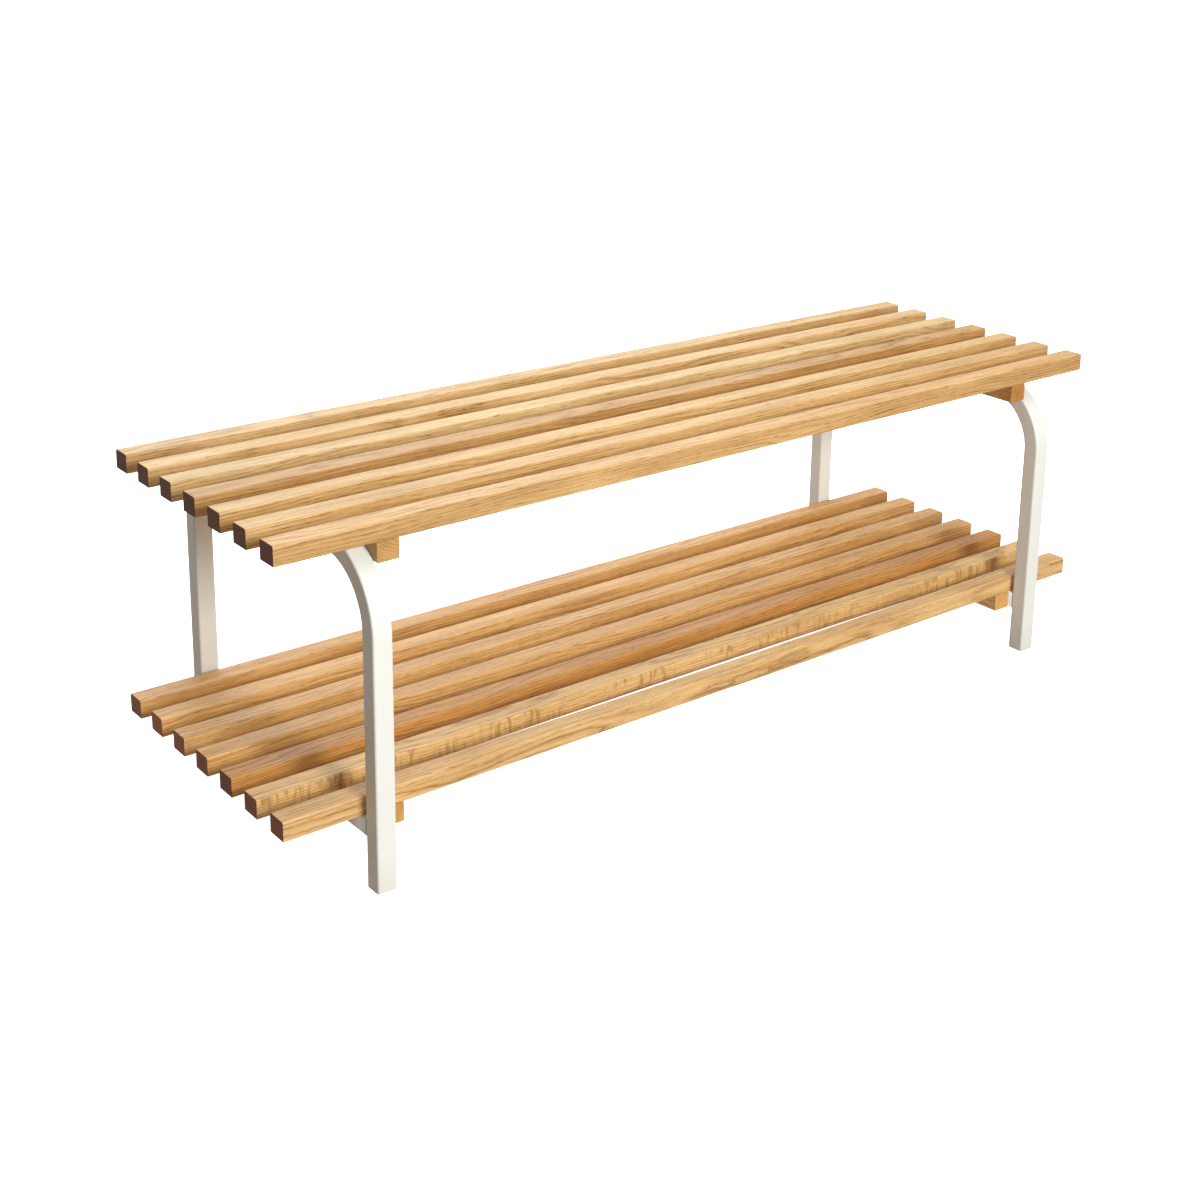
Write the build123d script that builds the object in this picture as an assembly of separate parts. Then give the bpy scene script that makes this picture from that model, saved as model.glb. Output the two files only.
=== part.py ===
from build123d import *
from math import asin, degrees
import os

# Two-tier slatted entryway bench: oak slats and battens on two bent steel end frames.
# X runs along the slats, Y from front (-) to back (+), Z up.
# The origin is on the floor, under the middle of the bench. Millimetres.

# Shelves
slat_length = 1200.0
slat_width = 27.0
slat_height = 22.0
slat_count = 7
slat_pitch = 55.5
top_edge_round = 3.0
bottom_edge_round = 1.0
seat_top = 391.0
shelf_top = 100.0

# Steel end frames
frame_span = 1020.0
frame_depth = 416.0
tube_width = 23.0
tube_depth = 22.0
tube_wall = 1.5
tube_corner = 2.5
bend_radius = 90.0
weld_leg = 3.0

# Foot plugs
foot_flange = 2.5
foot_stem = 12.0
foot_edge_round = 0.8

# Cross battens
batten_width = 26.0
batten_height = 22.0
batten_edge_round = 1.0

# Countersunk wood screws, driven up through a batten into each slat
screw_length = 32.0
screw_radius = 2.0
screw_head_radius = 4.0
screw_head_height = 2.4
screw_tip = 4.0
recess_width = 0.9
recess_span = 4.2
recess_depth = 1.4

# Frame bolts: M6 button head, washer and rivet nut
bolt_y = 1.5 * slat_pitch
bolt_radius = 3.0
bolt_length = 40.0
bolt_head_radius = 5.25
bolt_head_height = 3.3
socket_flats = 4.0
socket_depth = 2.0
washer_radius = 6.25
washer_thickness = 1.6
rivet_flange_radius = 6.5
rivet_flange_height = 1.2
rivet_body_radius = 4.5
rivet_bulge_radius = 6.0
rivet_bulge_height = 3.0
rivet_length = 14.0

# Worked out from the sizes above
tube_top = seat_top - slat_height
crossbar_top = shelf_top - slat_height
frame_x = frame_span / 2 - tube_width / 2
leg_y = frame_depth / 2 - tube_depth / 2
field_depth = (slat_count - 1) * slat_pitch + slat_width
batten_x = frame_span / 2 - tube_width - batten_width / 2
slat_ys = [(i - (slat_count - 1) / 2) * slat_pitch for i in range(slat_count)]
sides = {"left": -1, "right": 1}
tiers = {"upper": tube_top, "lower": crossbar_top}

os.makedirs("parts", exist_ok=True)


def write(name, shape):
    """Writes one node, under its own name."""
    shape.label = name
    export_step(shape, f"parts/{name}.step")


def slat_bar(y, top):
    """One slat: a bar with rounded upper edges and lightly broken lower edges."""
    profile = Rectangle(slat_width, slat_height)
    corners = profile.vertices().sort_by(Axis.Y)
    profile = fillet(corners[2:], top_edge_round)
    lower = profile.vertices().sort_by(Axis.Y)[:2]
    profile = fillet(lower, bottom_edge_round)
    bar = extrude(Plane.YZ * profile, slat_length / 2, both=True)
    return Pos(0, y, top - slat_height / 2) * bar


def wood_screw():
    """Countersunk screw: head underside up, seated at z = 0, point at screw_length."""
    shank_end = screw_length - screw_tip
    outline = Polyline(
        (0, 0),
        (screw_head_radius, 0),
        (screw_radius, screw_head_height),
        (screw_radius, shank_end),
        (0, screw_length),
        close=True,
    )
    return revolve(Plane.XZ * make_face(outline), Axis.Z)


def cross_recess():
    """The cross that a driver turns, cut up into the head."""
    arm = Pos(0, 0, recess_depth / 2) * Box(recess_span, recess_width, recess_depth)
    return arm + Rot(0, 0, 90) * arm


def screws_under(x, underside):
    """Where the screws of one batten sit, one below each slat."""
    return [Pos(x, y, underside) for y in slat_ys]


def cut_all(body, tools):
    """The body with every tool's shape taken out."""
    for tool in tools:
        body = body - tool
    return body


def tube_profile(inset):
    """The tube's section, shrunk by inset on every side."""
    corner = tube_corner - inset
    return RectangleRounded(tube_width - 2 * inset, tube_depth - 2 * inset, corner)


def hoop_bar(inset):
    """A bar of the tube's section, shrunk by inset: two legs, two bends and the top."""
    section = tube_profile(inset)
    centre_radius = bend_radius - tube_depth / 2
    bend_y = leg_y - centre_radius
    bend_z = tube_top - bend_radius
    leg = Pos(0, leg_y, foot_flange) * extrude(section, bend_z - foot_flange)
    bend_axis = Axis((0, bend_y, bend_z), (1, 0, 0))
    bend = revolve(Pos(0, leg_y, bend_z) * section, bend_axis, 90)
    across = extrude(Plane.XZ * section, bend_y, both=True)
    half = leg + bend
    return half + mirror(half, Plane.XZ) + Pos(0, 0, tube_top - tube_depth / 2) * across


def end_hoop(x):
    """The bent tube of one end frame, open at its feet."""
    return Pos(x, 0, 0) * (hoop_bar(0) - hoop_bar(tube_wall))


def crossbar(x):
    """The straight tube between the legs, its ends against their inner faces."""
    section = tube_profile(0) - tube_profile(tube_wall)
    bar = extrude(Plane.XZ * section, frame_depth / 2 - tube_depth, both=True)
    return Pos(x, 0, crossbar_top - tube_depth / 2) * bar


def weld_bead():
    """A fillet weld across the tube, in the corner y = 0, z = 0, towards +Y and +Z."""
    corner = Polyline((0, 0), (weld_leg, 0), (0, weld_leg), close=True)
    return extrude(Plane.YZ * make_face(corner), tube_width / 2 - tube_corner, both=True)


def crossbar_welds(x):
    """Four beads: above and below the crossbar, at the front and the back leg."""
    leg_face = frame_depth / 2 - tube_depth
    above = Pos(x, -leg_face, crossbar_top) * weld_bead()
    below = mirror(above, Plane.XY.offset(crossbar_top - tube_depth / 2))
    front = [above, below]
    back = [mirror(bead, Plane.XZ) for bead in front]
    return Compound(children=front + back)


def foot_plug(x, y):
    """A moulded plug: a flange that covers the tube's end and a stem inside it."""
    flange = extrude(tube_profile(0), foot_flange)
    rim = flange.faces().sort_by(Axis.Z)[0].edges()
    flange = fillet(rim, foot_edge_round)
    stem = extrude(tube_profile(tube_wall), foot_stem)
    return Pos(x, y, 0) * (flange + Pos(0, 0, foot_flange) * stem)


def batten(x, top):
    """A cross bar of wood under the slats, as deep as the field of slats."""
    profile = RectangleRounded(batten_width, batten_height, batten_edge_round)
    bar = extrude(Plane.XZ * profile, field_depth / 2, both=True)
    return Pos(x, 0, top - batten_height / 2) * bar


def bolt_places(side, top):
    """Bolt axes of one batten: z along the axis, from its inboard face to the tube."""
    inboard = side * (batten_x - batten_width / 2)
    height = top - batten_height / 2
    return [Pos(inboard, y, height) * Rot(0, side * 90, 0) for y in (-bolt_y, bolt_y)]


def turned(points):
    """The solid turned from (radius, z) points about Z."""
    return revolve(Plane.XZ * make_face(Polyline(*points, close=True)), Axis.Z)


def frame_bolt():
    """Button head bolt, with the washer's outer face at z = -washer_thickness."""
    seat = -washer_thickness
    crown = seat - bolt_head_height
    end = seat + bolt_length
    dome_radius = (bolt_head_radius**2 + bolt_head_height**2) / (2 * bolt_head_height)
    dome_angle = degrees(asin(bolt_head_radius / dome_radius))
    dome = CenterArc((0, crown + dome_radius), dome_radius, -90, dome_angle)
    shank = Polyline((bolt_head_radius, seat), (bolt_radius, seat), (bolt_radius, end), (0, end), (0, crown))
    solid = revolve(Plane.XZ * make_face([dome, *shank.edges()]), Axis.Z)
    socket = extrude(RegularPolygon(socket_flats / 2, 6, major_radius=False), socket_depth)
    return solid - Pos(0, 0, crown) * socket


def washer():
    """Flat washer against the batten's inboard face."""
    ring = Circle(washer_radius) - Circle(bolt_radius)
    return Pos(0, 0, -washer_thickness) * extrude(ring, washer_thickness)


def rivet_nut():
    """Rivet nut set in the tube's wall: flange outside, bulge and threaded body inside."""
    wall_face = batten_width
    flange_start = wall_face - rivet_flange_height
    bulge_start = wall_face + tube_wall
    bulge_end = bulge_start + rivet_bulge_height
    return turned(
        [
            (bolt_radius, flange_start),
            (rivet_flange_radius, flange_start),
            (rivet_flange_radius, wall_face),
            (rivet_body_radius, wall_face),
            (rivet_body_radius, bulge_start),
            (rivet_bulge_radius, bulge_start),
            (rivet_bulge_radius, bulge_end),
            (rivet_body_radius, bulge_end),
            (rivet_body_radius, wall_face + rivet_length),
            (bolt_radius, wall_face + rivet_length),
        ]
    )


def drilled(radius, start, depth):
    """A round hole along Z, from start to start + depth."""
    return Pos(0, 0, start) * extrude(Circle(radius), depth)


def bolt_hole():
    """What the bolt and the rivet nut's flange take out of a batten."""
    recess_start = batten_width - rivet_flange_height
    recess = drilled(rivet_flange_radius, recess_start, rivet_flange_height)
    return drilled(bolt_radius, 0, batten_width) + recess


def rivet_hole():
    """What the rivet nut takes out of the tube's inboard wall."""
    return drilled(rivet_body_radius, batten_width, tube_wall)


screw_body = wood_screw()
screw = screw_body - cross_recess()
bolt = frame_bolt()
bolt_washer = washer()
nut = rivet_nut()

for tier, top in tiers.items():
    underside = top - batten_height
    screw_tools = []
    for side_name, side in sides.items():
        places = screws_under(side * batten_x, underside)
        tools = [place * screw_body for place in places]
        bolt_axes = bolt_places(side, top)
        bar = batten(side * batten_x, top)
        bar = cut_all(bar, tools + [place * bolt_hole() for place in bolt_axes])
        write(f"{side_name}_{tier}_batten", bar)
        screws = [place * screw for place in places]
        write(f"{side_name}_{tier}_slat_screws", Compound(children=screws))
        bolts = [place * bolt for place in bolt_axes]
        write(f"{side_name}_{tier}_frame_bolts", Compound(children=bolts))
        washers = [place * bolt_washer for place in bolt_axes]
        write(f"{side_name}_{tier}_washers", Compound(children=washers))
        nuts = [place * nut for place in bolt_axes]
        write(f"{side_name}_{tier}_rivet_nuts", Compound(children=nuts))
        screw_tools.append(tools)
    for i, y in enumerate(slat_ys):
        slat = slat_bar(y, top + slat_height)
        slat = cut_all(slat, [tools[i] for tools in screw_tools])
        write(f"{tier}_slat_{i + 1}", slat)

for side_name, side in sides.items():
    x = side * frame_x
    hoop_holes = [place * rivet_hole() for place in bolt_places(side, tube_top)]
    write(f"{side_name}_hoop_tube", cut_all(end_hoop(x), hoop_holes))
    bar_holes = [place * rivet_hole() for place in bolt_places(side, crossbar_top)]
    write(f"{side_name}_lower_crossbar", cut_all(crossbar(x), bar_holes))
    write(f"{side_name}_crossbar_welds", crossbar_welds(x))
    for end_name, end in {"front": -1, "back": 1}.items():
        write(f"{side_name}_{end_name}_foot_plug", foot_plug(x, end * leg_y))
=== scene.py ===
import math

import bpy
import numpy as np
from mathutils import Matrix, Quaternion, Vector


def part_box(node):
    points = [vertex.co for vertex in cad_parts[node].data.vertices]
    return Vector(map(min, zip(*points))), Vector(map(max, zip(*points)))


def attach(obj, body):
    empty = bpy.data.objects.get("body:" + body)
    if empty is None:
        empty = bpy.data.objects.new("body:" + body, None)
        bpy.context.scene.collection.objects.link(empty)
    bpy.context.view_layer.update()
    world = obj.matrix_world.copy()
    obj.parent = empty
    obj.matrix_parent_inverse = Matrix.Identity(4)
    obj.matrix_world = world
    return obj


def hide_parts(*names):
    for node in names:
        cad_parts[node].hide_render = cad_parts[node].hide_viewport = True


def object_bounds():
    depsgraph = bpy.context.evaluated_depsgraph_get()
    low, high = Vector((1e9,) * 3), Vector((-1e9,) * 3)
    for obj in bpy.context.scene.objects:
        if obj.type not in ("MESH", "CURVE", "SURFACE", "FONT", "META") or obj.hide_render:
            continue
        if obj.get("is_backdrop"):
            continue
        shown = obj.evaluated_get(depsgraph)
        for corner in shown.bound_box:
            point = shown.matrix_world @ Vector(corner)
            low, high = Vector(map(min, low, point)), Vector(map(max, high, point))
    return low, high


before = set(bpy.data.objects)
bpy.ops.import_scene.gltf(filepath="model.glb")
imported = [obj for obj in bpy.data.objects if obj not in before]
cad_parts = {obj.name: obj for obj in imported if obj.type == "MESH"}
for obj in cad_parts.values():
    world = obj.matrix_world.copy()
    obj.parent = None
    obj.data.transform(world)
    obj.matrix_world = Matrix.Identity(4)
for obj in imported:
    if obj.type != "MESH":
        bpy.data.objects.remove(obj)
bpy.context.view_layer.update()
print("frame loaded,", len(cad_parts), "nodes")

mm = 0.001


# sRGB hex to the linear colour that the shaders use
def hexColour(text):
    srgb = np.array([int(text[i:i + 2], 16) / 255 for i in (1, 3, 5)])
    linear = np.where(srgb <= 0.04045, srgb / 12.92, ((srgb + 0.055) / 1.055) ** 2.4)
    return (*linear.tolist(), 1.0)


# One node with its settings. An input is a value, a socket, or a node whose first output is linked.
def addNode(tree, kind, settings=None, inputs=None):
    node = tree.nodes.new("ShaderNode" + kind)
    for key, value in (settings or {}).items():
        setattr(node, key, value)
    for key, value in (inputs or {}).items():
        if isinstance(value, bpy.types.Node):
            value = value.outputs[0]
        if isinstance(value, bpy.types.NodeSocket):
            tree.links.new(value, node.inputs[key])
        else:
            node.inputs[key].default_value = value
    return node


# an empty node material and its tree
def newMaterial(name):
    material = bpy.data.materials.new(name)
    material.use_nodes = True
    material.node_tree.nodes.clear()
    return material, material.node_tree


oakLook = {
    "light": "#f0cc91",
    "middle": "#d5ab6e",
    "dark": "#a07341",
    "pore": "#5c3a20",
    "fleck": "#ae854d",
    "ringContrast": 0.55,
    "fibreContrast": 1.15,
    "mottleContrast": 0.80,
    "baseTone": 0.34,             # of an average spot between two rings: 0 is light, 1 is dark
    "noiseRoughness": 0.55,
    "slowWander": 22.0,           # mm that a ring strays from its circle along the bar
    "fineWander": 2.4,            # mm that it strays within a few centimetres
    "earlyShare": 0.45,           # part of a ring's width that its early wood takes
    "lateFrom": 0.55,             # part of a ring's width where its late wood starts
    "lateDepth": 0.55,            # how dark late wood gets beside early wood
    "faintestRing": 0.25,         # contrast of the faintest ring beside the strongest
    "sideSlope": 0.6,             # grain slope seen from above beside that seen from the front
    "rayEdge": (0.46, 0.68),      # noise from none to full: ray bars, their patches, vessels
    "patchEdge": (0.36, 0.54),
    "vesselEdge": (0.54, 0.68),
    "vesselShare": (0.25, 0.75),  # in late wood and in early wood
    "endEdge": (0.6, 0.9),        # how far a face looks along the grain before it is an end
    "fibreHeight": 0.5,           # heights of the surface beside the depth of a vessel
    "earlyHeight": -0.25,
    "poreHeight": -1.0,
    "poreDepth": 0.12,            # mm
    "bump": 0.6,
    "roughness": 0.40,
    "fibreRoughness": 0.16,
    "poreRoughness": 0.15,
    "endRoughness": 0.20,
    "ior": 1.5,
}

# Sawn ends, a colour multiplied over the wood's own. On the slats it is painted shade that darkens the ends,
# which face away from the lights; the lower shelf's ends, four of them most, are kept lighter as painted
# light where more light reaches them.
# The battens' ends keep close to the wood's own colour.
endTintAndShade = {
    "upper_slat": "#96623c",
    "lower_slat": "#b07a50",
    "batten": "#fff0d8",
    "lower_slat_4": "#bb8755",
    "lower_slat_5": "#cd9859",
    "lower_slat_6": "#e1ac74",
    "lower_slat_7": "#cea873",
}

# Noise in the wood: its size in mm along, across and up, its detail, and an offset that keeps two apart.
# Fibres and vessels are drawn about three times as coarse as real oak so that they show at room distance.
grainNoises = {
    "slow": ((240, 46, 46), 1.0, 0.0),
    "fine": ((38, 7, 7), 2.0, 31.0),
    "fibres": ((95, 1.6, 1.6), 3.0, 3.0),
    "mottle": ((150, 22, 22), 2.0, 77.0),
    "vessels": ((15, 0.75, 0.75), 1.0, 13.0),
    "rays": ((5.5, 24, 24), 1.5, 5.0),
    "rayPatches": ((70, 60, 60), 1.0, 9.0),
}

# How each bar was cut from its log: the pith's place from the bar's centre in mm (across, up), the slope
# of the grain in degrees, the growth ring width in mm, a tone that multiplies the colour, and how much
# ray fleck its faces show.
boards = {
    "upper_slat_1": {"pith": (34, -62), "slope": 0.5, "ring": 3.4, "tone": "#ede7e0", "fleck": 0.0},
    "upper_slat_2": {"pith": (-58, -48), "slope": -0.4, "ring": 2.9, "tone": "#eeedea", "fleck": 0.1},
    "upper_slat_3": {"pith": (48, 66), "slope": 0.3, "ring": 3.1, "tone": "#edece8", "fleck": 0.1},
    "upper_slat_4": {"pith": (12, -84), "slope": -0.7, "ring": 3.8, "tone": "#d6c9b5", "fleck": 0.0},
    "upper_slat_5": {"pith": (-66, 38), "slope": 0.4, "ring": 2.7, "tone": "#f0f8ff", "fleck": 0.1},
    "upper_slat_6": {"pith": (70, -34), "slope": -0.3, "ring": 3.3, "tone": "#f1f2f7", "fleck": 0.0},
    "upper_slat_7": {"pith": (-30, -78), "slope": 0.6, "ring": 3.0, "tone": "#eceef1", "fleck": 0.1},
    "lower_slat_1": {"pith": (-74, -14), "slope": 0.8, "ring": 4.2, "tone": "#fefcfc", "fleck": 0.0},
    "lower_slat_2": {"pith": (18, 88), "slope": -0.3, "ring": 3.0, "tone": "#fffffc", "fleck": 1.0},
    "lower_slat_3": {"pith": (-42, -70), "slope": 0.9, "ring": 3.6, "tone": "#e3c8a2", "fleck": 0.0},
    "lower_slat_4": {"pith": (60, -52), "slope": -0.5, "ring": 2.9, "tone": "#f3e6d4", "fleck": 0.1},
    "lower_slat_5": {"pith": (-26, 74), "slope": 0.3, "ring": 3.2, "tone": "#f2e8d9", "fleck": 0.1},
    "lower_slat_6": {"pith": (64, 30), "slope": -0.4, "ring": 2.8, "tone": "#f6ecde", "fleck": 0.0},
    "lower_slat_7": {"pith": (-52, -60), "slope": 0.6, "ring": 3.3, "tone": "#eaddcb", "fleck": 0.0},
    "left_upper_batten": {"pith": (40, -60), "slope": 0.4, "ring": 3.2, "tone": "#e6e5e2", "fleck": 0.0},
    "right_upper_batten": {"pith": (-46, 58), "slope": -0.5, "ring": 3.0, "tone": "#dfcdab", "fleck": 0.0},
    "left_lower_batten": {"pith": (56, 44), "slope": 0.6, "ring": 3.4, "tone": "#f1e7d9", "fleck": 0.0},
    "right_lower_batten": {"pith": (-60, -40), "slope": -0.3, "ring": 2.9, "tone": "#ffffff", "fleck": 0.0},
}


# Planed oak with a thin clear oil: warm, a soft sheen, growth rings that run through the bar, long open
# vessels in the early wood, and sawn ends darkened with painted shade.
def oiledOak(node, board):
    material, tree = newMaterial("oiledOak_" + node)
    low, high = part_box(node)
    centre = (np.array(low) + np.array(high)) / 2 / mm
    alongY = (high[1] - low[1]) > (high[0] - low[0])
    slope = math.radians(board["slope"])
    turn = (0.0, slope, slope * oakLook["sideSlope"] - (math.pi / 2 if alongY else 0))
    across = centre[0] * math.sin(turn[2]) + centre[1] * math.cos(turn[2])
    pithAcross, pithUp = board["pith"]
    # the point in its log's own frame, in mm: x along the grain, y and z from the pith
    place = addNode(tree, "TexCoord")
    point = addNode(tree, "Mapping", {"vector_type": "POINT"}, {
        "Vector": place.outputs["Object"], "Location": (0.0, -across - pithAcross, -centre[2] - pithUp),
        "Rotation": turn, "Scale": (1 / mm,) * 3})
    facing = addNode(tree, "Mapping", {"vector_type": "VECTOR"}, {
        "Vector": place.outputs["Normal"], "Rotation": turn})
    noise = {}
    for name, (sizes, detail, offset) in grainNoises.items():
        scaled = addNode(tree, "VectorMath", {"operation": "MULTIPLY_ADD"}, {
            0: point, 1: tuple(1 / size for size in sizes), 2: (offset + pithAcross, offset, pithUp)})
        noise[name] = addNode(tree, "TexNoise", inputs={
            "Vector": scaled, "Scale": 1.0, "Detail": detail, "Roughness": oakLook["noiseRoughness"]})

    # ring phase = (distance from the pith + slow wander + fine wander) / ring width
    radial = addNode(tree, "VectorMath", {"operation": "MULTIPLY"}, {0: point, 1: (0.0, 1.0, 1.0)})
    distance = addNode(tree, "VectorMath", {"operation": "LENGTH"}, {0: radial}).outputs["Value"]
    phase = addNode(tree, "Math", {"operation": "MULTIPLY"}, {0: distance, 1: 1 / board["ring"]})
    for name in ("slow", "fine"):
        phase = addNode(tree, "Math", {"operation": "MULTIPLY_ADD"}, {
            0: noise[name], 1: oakLook[name + "Wander"] / board["ring"], 2: phase})
    ring = addNode(tree, "Math", {"operation": "FRACT"}, {0: phase})
    ringNumber = addNode(tree, "Math", {"operation": "FLOOR"}, {0: phase})
    ringChance = addNode(tree, "TexWhiteNoise", {"noise_dimensions": "1D"}, {"W": ringNumber})
    # early wood is a dark porous line at the start of each ring, late wood darkens slowly towards its end
    early = addNode(tree, "MapRange", {"interpolation_type": "SMOOTHSTEP"}, {
        "Value": ring, "From Min": 0.0, "From Max": oakLook["earlyShare"],
        "To Min": 1.0, "To Max": 0.0})
    late = addNode(tree, "MapRange", {"interpolation_type": "SMOOTHSTEP"}, {
        "Value": ring, "From Min": oakLook["lateFrom"], "From Max": 1.0,
        "To Min": 0.0, "To Max": oakLook["lateDepth"]})
    line = addNode(tree, "Math", {"operation": "MAXIMUM"}, {0: early, 1: late})
    ringWeight = addNode(tree, "MapRange", inputs={
        "Value": ringChance.outputs["Value"],
        "To Min": oakLook["faintestRing"] * oakLook["ringContrast"], "To Max": oakLook["ringContrast"]})

    # tone runs from 0, light, to 1, dark: tone = base + rings + fibres + mottle, each noise about its middle
    base = oakLook["baseTone"] - (oakLook["fibreContrast"] + oakLook["mottleContrast"]) / 2
    tone = addNode(tree, "Math", {"operation": "MULTIPLY_ADD"}, {0: line, 1: ringWeight, 2: base})
    tone = addNode(tree, "Math", {"operation": "MULTIPLY_ADD"}, {
        0: noise["fibres"], 1: oakLook["fibreContrast"], 2: tone})
    tone = addNode(tree, "Math", {"operation": "MULTIPLY_ADD", "use_clamp": True}, {
        0: noise["mottle"], 1: oakLook["mottleContrast"], 2: tone})
    colours = addNode(tree, "ValToRGB", inputs={0: tone})
    stops = colours.color_ramp.elements
    stops[0].color = hexColour(oakLook["light"])
    stops[1].color = hexColour(oakLook["dark"])
    stops.new(0.5).color = hexColour(oakLook["middle"])
    colour = colours.outputs[0]

    # ray fleck: short bars across the grain, on faces that hold the rays, strength 1 - (radius . normal)^2
    if board["fleck"] > 0:
        away = addNode(tree, "VectorMath", {"operation": "NORMALIZE"}, {0: radial})
        dot = addNode(tree, "VectorMath", {"operation": "DOT_PRODUCT"}, {0: away, 1: facing})
        slant = dot.outputs["Value"]
        slanted = addNode(tree, "Math", {"operation": "MULTIPLY"}, {0: slant, 1: slant})
        holdsRays = addNode(tree, "Math", {"operation": "SUBTRACT", "use_clamp": True}, {0: 1.0, 1: slanted})
        bars = addNode(tree, "MapRange", {"interpolation_type": "SMOOTHSTEP"}, {
            "Value": noise["rays"],
            "From Min": oakLook["rayEdge"][0], "From Max": oakLook["rayEdge"][1]})
        patches = addNode(tree, "MapRange", {"interpolation_type": "SMOOTHSTEP"}, {
            "Value": noise["rayPatches"], "To Max": board["fleck"],
            "From Min": oakLook["patchEdge"][0], "From Max": oakLook["patchEdge"][1]})
        amount = addNode(tree, "Math", {"operation": "MULTIPLY"}, {0: bars, 1: patches})
        amount = addNode(tree, "Math", {"operation": "MULTIPLY"}, {0: amount, 1: holdsRays})
        colour = addNode(tree, "Mix", {"data_type": "RGBA"}, {
            0: amount, 6: colour, 7: hexColour(oakLook["fleck"])}).outputs[2]

    # vessels: dark dashes, most of them in the early wood
    dashes = addNode(tree, "MapRange", {"interpolation_type": "SMOOTHSTEP"}, {
        "Value": noise["vessels"],
        "From Min": oakLook["vesselEdge"][0], "From Max": oakLook["vesselEdge"][1]})
    share = addNode(tree, "MapRange", inputs={
        "Value": early, "To Min": oakLook["vesselShare"][0], "To Max": oakLook["vesselShare"][1]})
    pores = addNode(tree, "Math", {"operation": "MULTIPLY"}, {0: dashes, 1: share})
    colour = addNode(tree, "Mix", {"data_type": "RGBA"}, {
        0: pores, 6: colour, 7: hexColour(oakLook["pore"])}).outputs[2]
    # sawn ends are multiplied darker: painted shade on the slats' ends, less of it on the lower shelf as
    # painted light
    along = addNode(tree, "SeparateXYZ", inputs={0: facing})
    steep = addNode(tree, "Math", {"operation": "ABSOLUTE"}, {0: along})
    isEnd = addNode(tree, "MapRange", {"interpolation_type": "SMOOTHSTEP"}, {
        "Value": steep, "From Min": oakLook["endEdge"][0], "From Max": oakLook["endEdge"][1]})
    # the end colour is painted shade and painted light, not a colour of the wood itself
    endTintAndShadeColour = endTintAndShade.get(node, endTintAndShade["batten" if alongY else node[:-2]])
    colour = addNode(tree, "Mix", {"data_type": "RGBA", "blend_type": "MULTIPLY"}, {
        0: isEnd, 6: colour, 7: hexColour(endTintAndShadeColour)}).outputs[2]
    colour = addNode(tree, "Mix", {"data_type": "RGBA", "blend_type": "MULTIPLY"}, {
        0: 1.0, 6: colour, 7: hexColour(board["tone"])})

    roughness = addNode(tree, "Math", {"operation": "MULTIPLY_ADD"}, {
        0: noise["fibres"], 1: oakLook["fibreRoughness"],
        2: oakLook["roughness"] - oakLook["fibreRoughness"] / 2})
    for rougher, name in ((pores, "poreRoughness"), (isEnd, "endRoughness")):
        roughness = addNode(tree, "Math", {"operation": "MULTIPLY_ADD"}, {
            0: rougher, 1: oakLook[name], 2: roughness})
    # the surface: vessels are cut open, early wood lies a little lower, fibres stand up
    height = addNode(tree, "Math", {"operation": "MULTIPLY"}, {
        0: noise["fibres"], 1: oakLook["fibreHeight"]})
    for sunken, name in ((pores, "poreHeight"), (early, "earlyHeight")):
        height = addNode(tree, "Math", {"operation": "MULTIPLY_ADD"}, {
            0: sunken, 1: oakLook[name], 2: height})
    bump = addNode(tree, "Bump", inputs={
        "Height": height, "Strength": oakLook["bump"], "Distance": oakLook["poreDepth"] * mm})
    shader = addNode(tree, "BsdfPrincipled", inputs={
        "Base Color": colour.outputs[2], "Roughness": roughness, "Normal": bump, "IOR": oakLook["ior"]})
    addNode(tree, "OutputMaterial", inputs={"Surface": shader})
    return material


# peel, cloud and peelDepth in mm
coatLook = {
    "colour": "#edeee8", "shade": "#e5e6df", "cloud": 71.43, "cloudRoughness": 0.08,
    "peel": 1.6, "peelDepth": 0.02, "bump": 0.35, "roughness": 0.36, "ior": 1.5,
}


# Powder coated steel: a satin warm white with a faint orange peel.
def whitePowderCoat():
    material, tree = newMaterial("whitePowderCoat")
    place = addNode(tree, "TexCoord").outputs["Object"]
    peel = addNode(tree, "TexNoise", inputs={
        "Vector": place, "Scale": 1 / (coatLook["peel"] * mm), "Detail": 1.0})
    cloud = addNode(tree, "TexNoise", inputs={
        "Vector": place, "Scale": 1 / (coatLook["cloud"] * mm), "Detail": 2.0})
    colour = addNode(tree, "Mix", {"data_type": "RGBA"}, {
        0: cloud, 6: hexColour(coatLook["colour"]), 7: hexColour(coatLook["shade"])})
    roughness = addNode(tree, "Math", {"operation": "MULTIPLY_ADD"}, {
        0: cloud, 1: coatLook["cloudRoughness"],
        2: coatLook["roughness"] - coatLook["cloudRoughness"] / 2})
    bump = addNode(tree, "Bump", inputs={
        "Height": peel, "Strength": coatLook["bump"], "Distance": coatLook["peelDepth"] * mm})
    shader = addNode(tree, "BsdfPrincipled", inputs={
        "Base Color": colour.outputs[2], "Roughness": roughness, "Normal": bump, "IOR": coatLook["ior"]})
    addNode(tree, "OutputMaterial", inputs={"Surface": shader})
    return material


# spark and sparkDepth in mm
plasticLook = {
    "colour": "#e3e0d9", "shade": "#d6d3cb", "spark": 0.5, "sparkDepth": 0.03, "sparkRoughness": 0.12,
    "bump": 0.3, "roughness": 0.54, "ior": 1.51,
}


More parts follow.
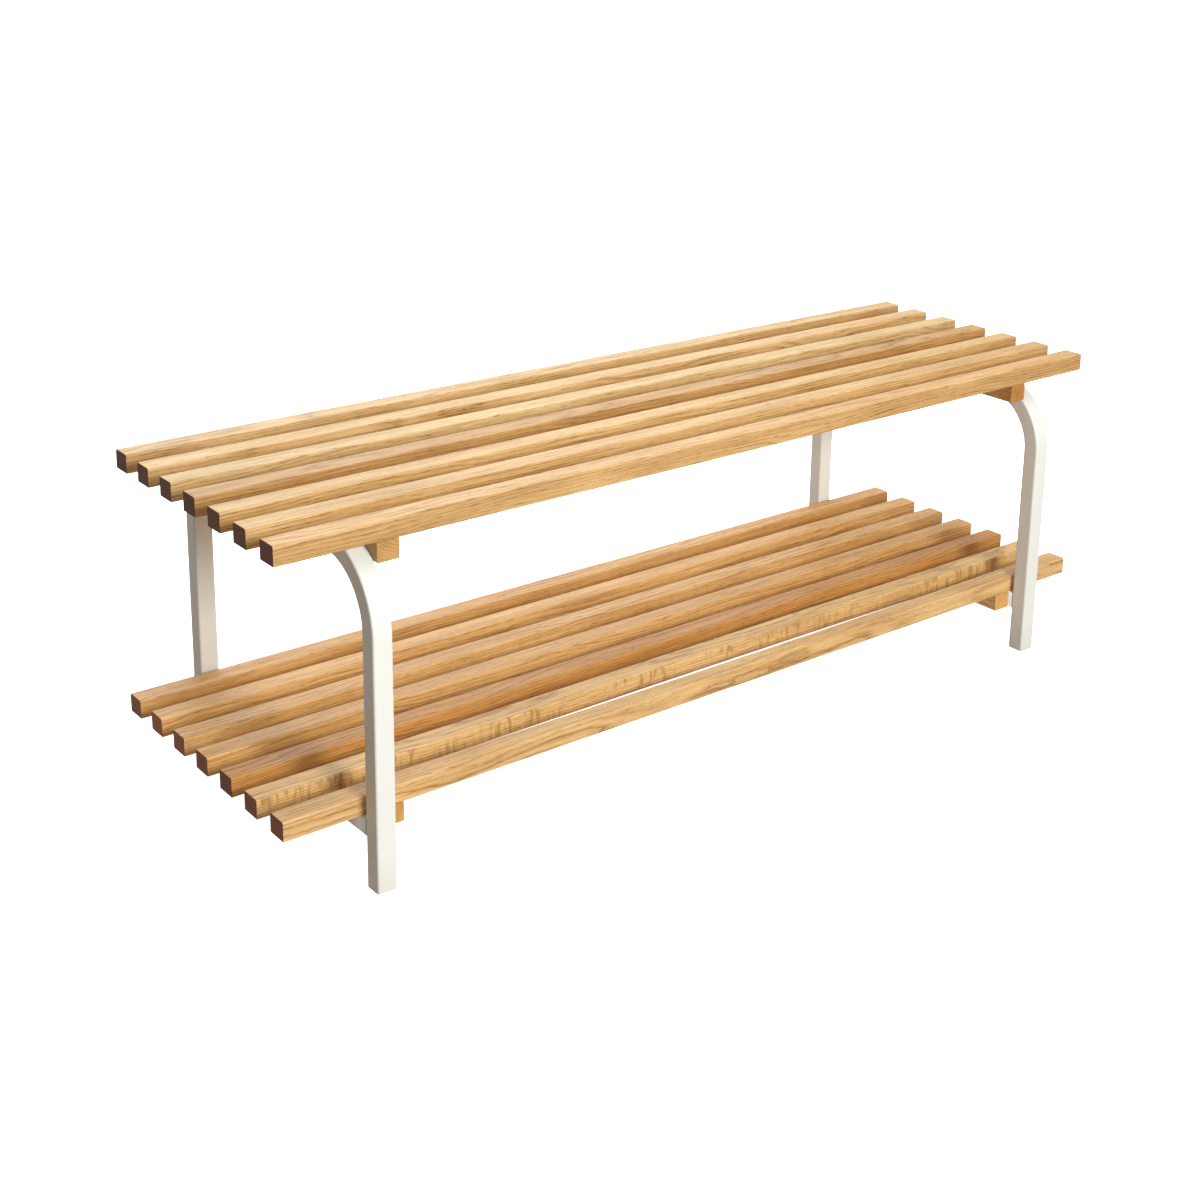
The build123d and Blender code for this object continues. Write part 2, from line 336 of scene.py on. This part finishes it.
# Moulded polyethylene: matte, slightly greyer than the coat, with a fine spark texture.
def whitePlastic():
    material, tree = newMaterial("mouldedWhitePlastic")
    place = addNode(tree, "TexCoord").outputs["Object"]
    spark = addNode(tree, "TexNoise", inputs={
        "Vector": place, "Scale": 1 / (plasticLook["spark"] * mm), "Detail": 2.0})
    colour = addNode(tree, "Mix", {"data_type": "RGBA"}, {
        0: spark, 6: hexColour(plasticLook["colour"]), 7: hexColour(plasticLook["shade"])})
    roughness = addNode(tree, "Math", {"operation": "MULTIPLY_ADD"}, {
        0: spark, 1: plasticLook["sparkRoughness"],
        2: plasticLook["roughness"] - plasticLook["sparkRoughness"] / 2})
    bump = addNode(tree, "Bump", inputs={
        "Height": spark, "Strength": plasticLook["bump"], "Distance": plasticLook["sparkDepth"] * mm})
    shader = addNode(tree, "BsdfPrincipled", inputs={
        "Base Color": colour.outputs[2], "Roughness": roughness, "Normal": bump, "IOR": plasticLook["ior"]})
    addNode(tree, "OutputMaterial", inputs={"Surface": shader})
    return material


# bloom in mm
zincLook = {
    "colour": "#d3d6d8", "shade": "#b2b4b3", "bloom": 2.5, "bloomRoughness": 0.18, "roughness": 0.31,
}


# Bright zinc plate on steel: cool grey metal with a faint cloudy bloom.
def zincPlate():
    material, tree = newMaterial("brightZincPlate")
    place = addNode(tree, "TexCoord").outputs["Object"]
    bloom = addNode(tree, "TexNoise", inputs={
        "Vector": place, "Scale": 1 / (zincLook["bloom"] * mm), "Detail": 3.0})
    colour = addNode(tree, "Mix", {"data_type": "RGBA"}, {
        0: bloom, 6: hexColour(zincLook["colour"]), 7: hexColour(zincLook["shade"])})
    roughness = addNode(tree, "Math", {"operation": "MULTIPLY_ADD"}, {
        0: bloom, 1: zincLook["bloomRoughness"],
        2: zincLook["roughness"] - zincLook["bloomRoughness"] / 2})
    shader = addNode(tree, "BsdfPrincipled", inputs={
        "Base Color": colour.outputs[2], "Roughness": roughness, "Metallic": 1.0})
    addNode(tree, "OutputMaterial", inputs={"Surface": shader})
    return material


# quads between neighbouring points of a rows by columns grid; columns wrap round, and rows too if closed
def gridFaces(rows, columns, closeRows=False):
    row = np.arange(rows if closeRows else rows - 1)
    i, j = np.meshgrid(row, np.arange(columns), indexing="ij")
    i2, j2 = (i + 1) % rows, (j + 1) % columns
    quads = np.stack([i * columns + j, i * columns + j2, i2 * columns + j2, i2 * columns + j], axis=-1)
    return quads.reshape(-1, 4)


# rounded rectangle of half sizes a, b: each corner is an arc p = centre + radius * (cos, sin), with one
# more point on each side of the arc, so that the flats stay flat when shaded smooth
def roundedLoop(a, b, radii, steps=7, support=0.6):
    loops = []
    for k, radius in enumerate(radii):
        angle = np.linspace(k * np.pi / 2, (k + 1) * np.pi / 2, steps)
        signs = np.array([[1, 1], [-1, 1], [-1, -1], [1, -1]])[k]
        centre = signs * (np.array([a, b]) - radius)
        arc = centre + radius * np.stack([np.cos(angle), np.sin(angle)], axis=-1)
        before = arc[0] - support * np.array([-np.sin(angle[0]), np.cos(angle[0])])
        after = arc[-1] + support * np.array([-np.sin(angle[-1]), np.cos(angle[-1])])
        loops.append(np.vstack([before, arc, after]))
    return np.vstack(loops)


# triangles from a ring of a grid to a centre point; flip turns them to face the other way
def capFaces(start, count, centre, flip):
    ring = start + np.arange(count)
    following = start + (np.arange(count) + 1) % count
    order = [following, ring] if flip else [ring, following]
    return np.stack([*order, np.full(count, centre)], axis=-1)


# a smooth mesh of these points and faces, on its own object at the origin
def meshObject(name, points, faceGroups, material):
    faces = [face for group in faceGroups for face in group.tolist()]
    mesh = bpy.data.meshes.new(name)
    mesh.from_pydata(points.tolist(), [], faces)
    mesh.polygons.foreach_set("use_smooth", np.ones(len(mesh.polygons), dtype=bool))
    mesh.materials.append(material)
    mesh.update()
    made = bpy.data.objects.new(name, mesh)
    bpy.context.scene.collection.objects.link(made)
    return made


# a mesh that takes the place of CAD nodes and rides on the bench's one body
def makePiece(name, points, faceGroups, material, nodes):
    piece = meshObject(name, points, faceGroups, material)
    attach(piece, "root")
    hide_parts(*nodes)


# lengths in mm
slatShape = {
    "topRound": 2.4, "bottomRound": 1.0, "stations": 61, "stationMargin": 2.0,
    "endEase": 0.6, "endSteps": 5, "endCap": 0.93,
    # hand sanding: how much of the extra rounding is reached at most, and the waves it comes and goes in
    "handSanded": 0.25, "topExtra": 1.0, "bottomExtra": 0.4, "sandWaves": (310.0, 170.0, 90.0, 60.0),
    # Two slats have one long edge planed rounder in the middle: radius at the top back, top front,
    # bottom front and bottom back edge there, fading out at this reach from the middle.
    "easedEdges": {"lower_slat_1": (8.2, 2.4, 1.0, 1.0), "lower_slat_2": (2.4, 2.4, 5.6, 1.0)},
    "easedReach": 540.0,
}


# A slat is a rounded loop carried along x: point = centre + (x, loop * (1 - inset / half)). The loop's
# corner radius wanders a little along the bar, as hand sanding leaves it, and at each end the loop draws
# in along a quarter circle before it is capped.
def slatSurface(low, high, seed, eased):
    low, high = np.array(low) / mm, np.array(high) / mm
    centre, half = (low + high) / 2, (high - low) / 2
    ease = slatShape["endEase"]
    angle = np.linspace(0, np.pi / 2, slatShape["endSteps"])
    easeX = ease * (1 - np.sin(angle))
    easeIn = ease * (1 - np.cos(angle))
    reach = half[0] - slatShape["stationMargin"]
    middle = np.linspace(-reach, reach, slatShape["stations"])
    x = np.concatenate([-half[0] + easeX[::-1], middle, half[0] - easeX])
    inset = np.concatenate([easeIn[::-1], np.zeros(len(middle)), easeIn])
    random = np.random.default_rng(seed)
    lengths = np.array(slatShape["sandWaves"])
    starts = random.uniform(0, 2 * np.pi, len(lengths))
    sand = np.sin(2 * np.pi * x[:, None] / lengths + starts).mean(axis=1) * slatShape["handSanded"]
    big, small = slatShape["topRound"], slatShape["bottomRound"]
    plain = roundedLoop(half[1], half[2], (big, big, small, small))
    moreBig, moreSmall = big + slatShape["topExtra"], small + slatShape["bottomExtra"]
    easier = roundedLoop(half[1], half[2], (moreBig, moreBig, moreSmall, moreSmall))
    loops = plain + (easier - plain) * np.clip(sand, 0, None)[:, None, None]
    if eased:
        fade = np.clip(1 - (x / slatShape["easedReach"]) ** 2, 0, 1)
        loops = loops + (roundedLoop(half[1], half[2], eased) - plain) * fade[:, None, None]
    scale = 1 - inset[:, None, None] / half[1:]
    loops = loops * scale
    count = loops.shape[1]
    grid = np.concatenate([np.broadcast_to(x[:, None, None], (len(x), count, 1)), loops], axis=2)
    drawnIn = (1, slatShape["endCap"], slatShape["endCap"])
    points = np.concatenate([grid[:1] * drawnIn, grid, grid[-1:] * drawnIn]).reshape(-1, 3)
    rows = len(x) + 2
    ends = np.array([[x[0], 0, 0], [x[-1], 0, 0]])
    points = np.vstack([points, ends]) + centre
    total = rows * count
    faces = [
        gridFaces(rows, count),
        capFaces(0, count, total, True),
        capFaces(total - count, count, total + 1, False),
    ]
    return points * mm, faces


for tier in ("upper", "lower"):
    for number in range(1, 8):
        node = f"{tier}_slat_{number}"
        low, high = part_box(node)
        seed = number + (0 if tier == "upper" else 20)
        points, faces = slatSurface(low, high, seed, slatShape["easedEdges"].get(node))
        makePiece("oak_" + node, points, faces, oiledOak(node, boards[node]), [node])
print("slats made")

# lengths in mm
tubeShape = {
    "wall": 1.5, "corner": 2.5, "bendRadius": 90.0, "bendSink": 0.5, "endEase": 0.35, "nextEase": 0.3,
    "footRings": (0.0, 0.15, 0.5, 40.0),    # rings of points on a leg, above its foot
    "kneeRings": (60.0, 6.0),               # and below its bend
    "bendRings": 33, "flatRings": 9, "flatMargin": 6.0,
}
coat = whitePowderCoat()


# Centre line of a hoop from the foot of its front leg to the foot of its back leg, and at each point the
# way out of the hoop: straight runs, and two quarter circles of point = bend centre + radius * way out.
# The sink is how far a bend's outside wall is drawn in: bendSink * sin(2 * angle turned).
def hoopLine(low, high, tubeDepth):
    radius = tubeShape["bendRadius"] - tubeDepth / 2
    legY = high[1] - tubeDepth / 2
    topZ = high[2] - tubeDepth / 2
    bendY, bendZ = legY - radius, topZ - radius
    footRings, kneeRings = np.array(tubeShape["footRings"]), np.array(tubeShape["kneeRings"])
    rise = np.concatenate([low[2] + footRings, bendZ - kneeRings])
    turn = np.linspace(0, np.pi / 2, tubeShape["bendRings"])
    reach = bendY - tubeShape["flatMargin"]
    across = np.linspace(-reach, reach, tubeShape["flatRings"])
    front = np.stack([np.full(len(rise), -legY), rise], axis=-1)
    frontOut = np.broadcast_to([-1.0, 0.0], front.shape)
    bendOut = np.stack([-np.cos(turn), np.sin(turn)], axis=-1)
    bend = np.array([-bendY, bendZ]) + radius * bendOut
    flat = np.stack([across, np.full(len(across), topZ)], axis=-1)
    flatOut = np.broadcast_to([0.0, 1.0], flat.shape)
    flip = np.array([-1.0, 1.0])
    line = np.vstack([front, bend, flat, (bend * flip)[::-1], (front * flip)[::-1]])
    out = np.vstack([frontOut, bendOut, flatOut, (bendOut * flip)[::-1], (frontOut * flip)[::-1]])
    legSink, bendSink, flatSink = np.zeros(len(front)), np.sin(2 * turn), np.zeros(len(flat))
    sink = np.concatenate([legSink, bendSink, flatSink, bendSink, legSink])
    return line, out, sink * tubeShape["bendSink"]


# A hollow tube as one closed surface: the section's loop is carried along the line on the outside, and
# back again on the inside, one wall thickness in. Point = line + out * v + x axis * u, and on the outside
# of a bend v is less by sink * (v / half)^4 * (1 - (u / half)^2).
def tubeSurface(x, line, out, sink, halfX, halfOut):
    wall, corner, ease = tubeShape["wall"], tubeShape["corner"], tubeShape["endEase"]
    outer = roundedLoop(halfX, halfOut, (corner,) * 4)
    inner = roundedLoop(halfX - wall, halfOut - wall, (corner - wall,) * 4)

    def carried(loop, shrink):
        u = loop[None, :, 0] * (1 - shrink[:, None] / halfX)
        v = loop[None, :, 1] * (1 - shrink[:, None] / halfOut)
        outside = np.clip(loop[None, :, 1] / halfOut, 0, 1) ** 4
        belly = np.clip(1 - (loop[None, :, 0] / halfX) ** 2, 0, 1)
        v = v - sink[:, None] * outside * belly
        yz = line[:, None, :] + out[:, None, :] * v[..., None]
        return np.concatenate([np.broadcast_to(x + u, v.shape)[..., None], yz], axis=2)

    shrink = np.zeros(len(line))
    shrink[0] = shrink[-1] = ease
    shrink[1] = shrink[-2] = ease * tubeShape["nextEase"]
    points = np.concatenate([carried(outer, shrink), carried(inner, shrink * 0)[::-1]])
    rows, count = points.shape[:2]
    return points.reshape(-1, 3) * mm, [gridFaces(rows, count, closeRows=True)[:, ::-1]]


for side in ("left", "right"):
    node = side + "_hoop_tube"
    low, high = (np.array(corner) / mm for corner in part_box(node))
    tubeWidth = high[0] - low[0]
    plugLow, plugHigh = (np.array(corner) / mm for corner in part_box(side + "_front_foot_plug"))
    tubeDepth = plugHigh[1] - plugLow[1]
    middleX = (low[0] + high[0]) / 2
    line, out, sink = hoopLine(low, high, tubeDepth)
    points, faces = tubeSurface(middleX, line, out, sink, tubeWidth / 2, tubeDepth / 2)
    makePiece("bent_" + node, points, faces, coat, [node])

    node = side + "_lower_crossbar"
    low, high = (np.array(corner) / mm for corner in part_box(node))
    y = np.linspace(low[1], high[1], tubeShape["flatRings"])
    line = np.stack([y, np.full(len(y), (low[2] + high[2]) / 2)], axis=-1)
    out = np.broadcast_to([0.0, 1.0], line.shape)
    points, faces = tubeSurface(middleX, line, out, y * 0, tubeWidth / 2, (high[2] - low[2]) / 2)
    makePiece("welded_" + node, points, faces, coat, [node])
print("end frames made")

# ripple is in mm along the bead, rippleDepth and endSize are shares of its leg
weldShape = {
    "ripple": 1.9, "rippleDepth": 0.18, "endSize": 0.1, "taperPower": 8, "steps": 48, "arcSteps": 9,
}


# A fillet bead: a quarter circle in the corner, swept along x. Its radius = leg * taper * ripple, with
# taper = square root of 1 - u^8 for u from -1 to 1 along the bead, eased into the size of its ends, and
# ripple = 1 - depth * (1 - |sin|). The loop also holds the corner itself, so the bead is closed.
def beadSurface(x0, x1, cornerY, cornerZ, signY, signZ, leg):
    steps = weldShape["steps"]
    u = np.linspace(-1, 1, steps)
    x = (x0 + x1) / 2 + u * (x1 - x0) / 2
    full = np.sqrt(np.clip(1 - u ** weldShape["taperPower"], 0, None))
    taper = full * (1 - weldShape["endSize"]) + weldShape["endSize"]
    ripple = 1 - weldShape["rippleDepth"] * (1 - np.abs(np.sin(np.pi * x / weldShape["ripple"])))
    radius = (leg * taper * ripple)[:, None]
    angle = np.linspace(0, np.pi / 2, weldShape["arcSteps"])
    across = np.concatenate([[0.0], np.cos(angle)])
    up = np.concatenate([[0.0], np.sin(angle)])
    y = cornerY + signY * radius * across
    z = cornerZ + signZ * radius * up
    grid = np.stack([np.broadcast_to(x[:, None], y.shape), y, z], axis=-1)
    count = grid.shape[1]
    faces = gridFaces(steps, count)
    caps = np.stack([np.arange(count)[::-1], (steps - 1) * count + np.arange(count)])
    if signY * signZ < 0:
        faces, caps = faces[:, ::-1], caps[:, ::-1]
    return grid.reshape(-1, 3) * mm, faces, caps


for side in ("left", "right"):
    node = side + "_crossbar_welds"
    low, high = (np.array(corner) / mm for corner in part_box(node))
    barLow, barHigh = (np.array(corner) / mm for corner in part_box(side + "_lower_crossbar"))
    leg = high[2] - barHigh[2]
    allPoints, groups, start = [], [], 0
    for signY, cornerY in ((1, barLow[1]), (-1, barHigh[1])):
        for signZ, cornerZ in ((1, barHigh[2]), (-1, barLow[2])):
            points, faces, caps = beadSurface(low[0], high[0], cornerY, cornerZ, signY, signZ, leg)
            allPoints.append(points)
            groups += [faces + start, caps + start]
            start += len(points)
    makePiece("bead_" + node, np.vstack(allPoints), groups, coat, [node])
print("welds made")

# lengths in mm
plugShape = {
    "flange": 2.5, "rim": 0.8, "rimSteps": 6, "groove": 0.3, "corner": 2.5,
    "soleInsets": (6.0, 2.0), "stemInset": 1.5, "topInset": 4.0,
}
plastic = whitePlastic()


# A foot plug is a stack of rounded loops: in from the middle of the sole, round the rim, up the side,
# in over a shadow groove, and up the stem inside the tube. Each loop = base loop * (1 - inset / half).
def plugSurface(low, high):
    low, high = np.array(low) / mm, np.array(high) / mm
    centre, half = (low + high) / 2, (high - low) / 2
    rim, flange, groove = plugShape["rim"], plugShape["flange"], plugShape["groove"]
    stem, top = plugShape["stemInset"], high[2] - low[2]
    angle = np.linspace(0, np.pi / 2, plugShape["rimSteps"])
    upperInset = [0, groove, stem, stem, plugShape["topInset"]]
    upperHeight = [flange - groove, flange, flange, top, top]
    inset = np.concatenate([plugShape["soleInsets"], rim * (1 - np.sin(angle)), upperInset])
    height = np.concatenate([[0, 0], rim * (1 - np.cos(angle)), upperHeight])
    loop = roundedLoop(half[0], half[1], (plugShape["corner"],) * 4)
    xy = loop[None] * (1 - inset[:, None, None] / half[:2])
    z = np.broadcast_to((low[2] + height)[:, None, None], xy.shape[:2] + (1,))
    grid = np.concatenate([xy + centre[:2], z], axis=2)
    rows, count = grid.shape[:2]
    poles = np.array([[*centre[:2], low[2]], [*centre[:2], high[2]]])
    points = np.vstack([grid.reshape(-1, 3), poles])
    total = rows * count
    faces = [
        gridFaces(rows, count),
        capFaces(0, count, total, True),
        capFaces(total - count, count, total + 1, False),
    ]
    return points * mm, faces


for side in ("left", "right"):
    for end in ("front", "back"):
        node = f"{side}_{end}_foot_plug"
        points, faces = plugSurface(*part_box(node))
        makePiece("moulded_" + node, points, faces, plastic, [node])
print("foot plugs made")

zinc = zincPlate()
for name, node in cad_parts.items():
    if name.endswith("_batten"):
        finish = oiledOak(name, boards[name])
    elif name.endswith(("_slat_screws", "_frame_bolts", "_washers", "_rivet_nuts")):
        finish = zinc
    else:
        continue
    for slot in node.material_slots:
        slot.material = finish
print("battens and fasteners finished")

studio = {
    "sweepRadius": 11.0, "sweepRise": 6.0, "sweepCorner": 4.0,
    "sweepHub": 0.4, "sweepRings": 12, "sweepBendRings": 16, "sweepSpokes": 96,
    "floorColour": "#fdfdfd", "floorGlow": 1.0, "floorRoughness": 0.9, "floorGloss": 0.1,
    "aim": (0.0, 0.0, 0.2),
    "keyPlace": (-0.25, -2.75, 1.35), "keySize": 0.75, "keyPower": 73,
    "topPlace": (0.4, 0.9, 2.9), "topSize": 2.6, "topPower": 86,
    "backPlace": (1.8, 3.6, 2.2), "backSize": 3.5, "backPower": 33,
    # light of the room from minus and plus x, y and z
    "room": (
        ((0.0, 0.01, 0.0), (0.30, 0.30, 0.29)),
        ((0.45, 0.45, 0.44), (0.80, 0.80, 0.80)),
        ((0.70, 0.40, 0.20), (0.30, 0.30, 0.30)),
    ),
}


# The sweep is a surface of revolution, point = (r cos, r sin, z): its profile runs out flat, up a quarter
# circle and up a wall.
def sweepSurface():
    radius, rise, corner = studio["sweepRadius"], studio["sweepRise"], studio["sweepCorner"]
    rings, spokes = studio["sweepRings"], studio["sweepSpokes"]
    bend = np.linspace(0, np.pi / 2, studio["sweepBendRings"] + 1)[1:]
    flat = np.linspace(studio["sweepHub"], radius - corner, rings)
    r = np.concatenate([flat, radius - corner + corner * np.sin(bend), [radius]])[:, None]
    z = np.concatenate([np.zeros(rings), corner * (1 - np.cos(bend)), [rise]])[:, None]
    angle = np.linspace(0, 2 * np.pi, spokes, endpoint=False)
    grid = np.stack([r * np.cos(angle), r * np.sin(angle), np.repeat(z, spokes, 1)], axis=-1)
    points = np.vstack([grid.reshape(-1, 3), [[0, 0, 0]]])
    return points, [gridFaces(len(r), spokes)[:, ::-1], capFaces(0, spokes, len(points) - 1, False)]


# Matte white paper that glows: it stays pure white, with no shadow on it.
def glowingPaper():
    material, tree = newMaterial("matteWhitePaper")
    shader = addNode(tree, "BsdfPrincipled", inputs={
        "Base Color": hexColour(studio["floorColour"]), "Roughness": studio["floorRoughness"],
        "Specular IOR Level": studio["floorGloss"],
        "Emission Color": hexColour(studio["floorColour"]), "Emission Strength": studio["floorGlow"]})
    addNode(tree, "OutputMaterial", inputs={"Surface": shader})
    return material


sweep = meshObject("studioSweep", *sweepSurface(), glowingPaper())
sweep.visible_diffuse = False
sweep.visible_glossy = False
sweep.visible_shadow = False
sweep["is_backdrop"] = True


# square lights that look at the bench and that the camera doesn't see
for name in ("key", "top", "back"):
    light = bpy.data.lights.new(name + "Softbox", "AREA")
    light.shape = "SQUARE"
    light.size = studio[name + "Size"]
    light.energy = studio[name + "Power"]
    lamp = bpy.data.objects.new(name + "Softbox", light)
    bpy.context.scene.collection.objects.link(lamp)
    lamp.location = studio[name + "Place"]
    lamp.rotation_mode = "QUATERNION"
    lamp.rotation_quaternion = (Vector(studio["aim"]) - lamp.location).to_track_quat("-Z", "Y")
    lamp.visible_camera = False

# The room's light is a cube of six colours: from direction d comes the sum over x, y and z of d squared
# times the colour of the face that d points to on that axis.
world = bpy.data.worlds.new("studioRoom")
bpy.context.scene.world = world
world.use_nodes = True
tree = world.node_tree
tree.nodes.clear()
direction = addNode(tree, "TexCoord").outputs["Generated"]
away = addNode(tree, "SeparateXYZ", inputs={0: direction})
squared = addNode(tree, "VectorMath", {"operation": "MULTIPLY"}, {0: direction, 1: direction})
squares = addNode(tree, "SeparateXYZ", inputs={0: squared})
room = (0.0, 0.0, 0.0)
for axis, (minus, plus) in enumerate(studio["room"]):
    isPlus = addNode(tree, "Math", {"operation": "GREATER_THAN"}, {0: away.outputs[axis], 1: 0.0})
    face = addNode(tree, "Mix", {"data_type": "RGBA"}, {
        0: isPlus, 6: (*minus, 1.0), 7: (*plus, 1.0)})
    share = addNode(tree, "VectorMath", {"operation": "SCALE"}, {
        0: face.outputs[2], "Scale": squares.outputs[axis]})
    room = addNode(tree, "VectorMath", {"operation": "ADD"}, {0: room, 1: share})
background = addNode(tree, "Background", inputs={"Color": room, "Strength": 1.0})
addNode(tree, "OutputWorld", inputs={"Surface": background})
bpy.context.scene.view_settings.view_transform = "Standard"
bpy.context.scene.view_settings.look = "None"
print("studio made")

shot = {
    "place": (-1.3518, -1.6506, 1.0284), "heading": 38.54, "pitch": 15.51, "roll": 0.98,
    "lens": 55.09, "sensor": 36.0, "shift": (-0.02, -0.20), "farthest": 60.0,
}
heading, pitch = math.radians(shot["heading"]), math.radians(shot["pitch"])
ahead = Vector((math.sin(heading) * math.cos(pitch), math.cos(heading) * math.cos(pitch), -math.sin(pitch)))
cameraData = bpy.data.cameras.new("camera")
camera = bpy.data.objects.new("camera", cameraData)
bpy.context.scene.collection.objects.link(camera)
camera.location = shot["place"]
camera.rotation_mode = "QUATERNION"
level = ahead.to_track_quat("-Z", "Y")
camera.rotation_quaternion = level @ Quaternion((0, 0, 1), math.radians(shot["roll"]))
cameraData.sensor_width = shot["sensor"]
cameraData.lens = shot["lens"]
cameraData.shift_x, cameraData.shift_y = shot["shift"]
cameraData.clip_end = shot["farthest"]
bpy.context.scene.camera = camera

low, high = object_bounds()
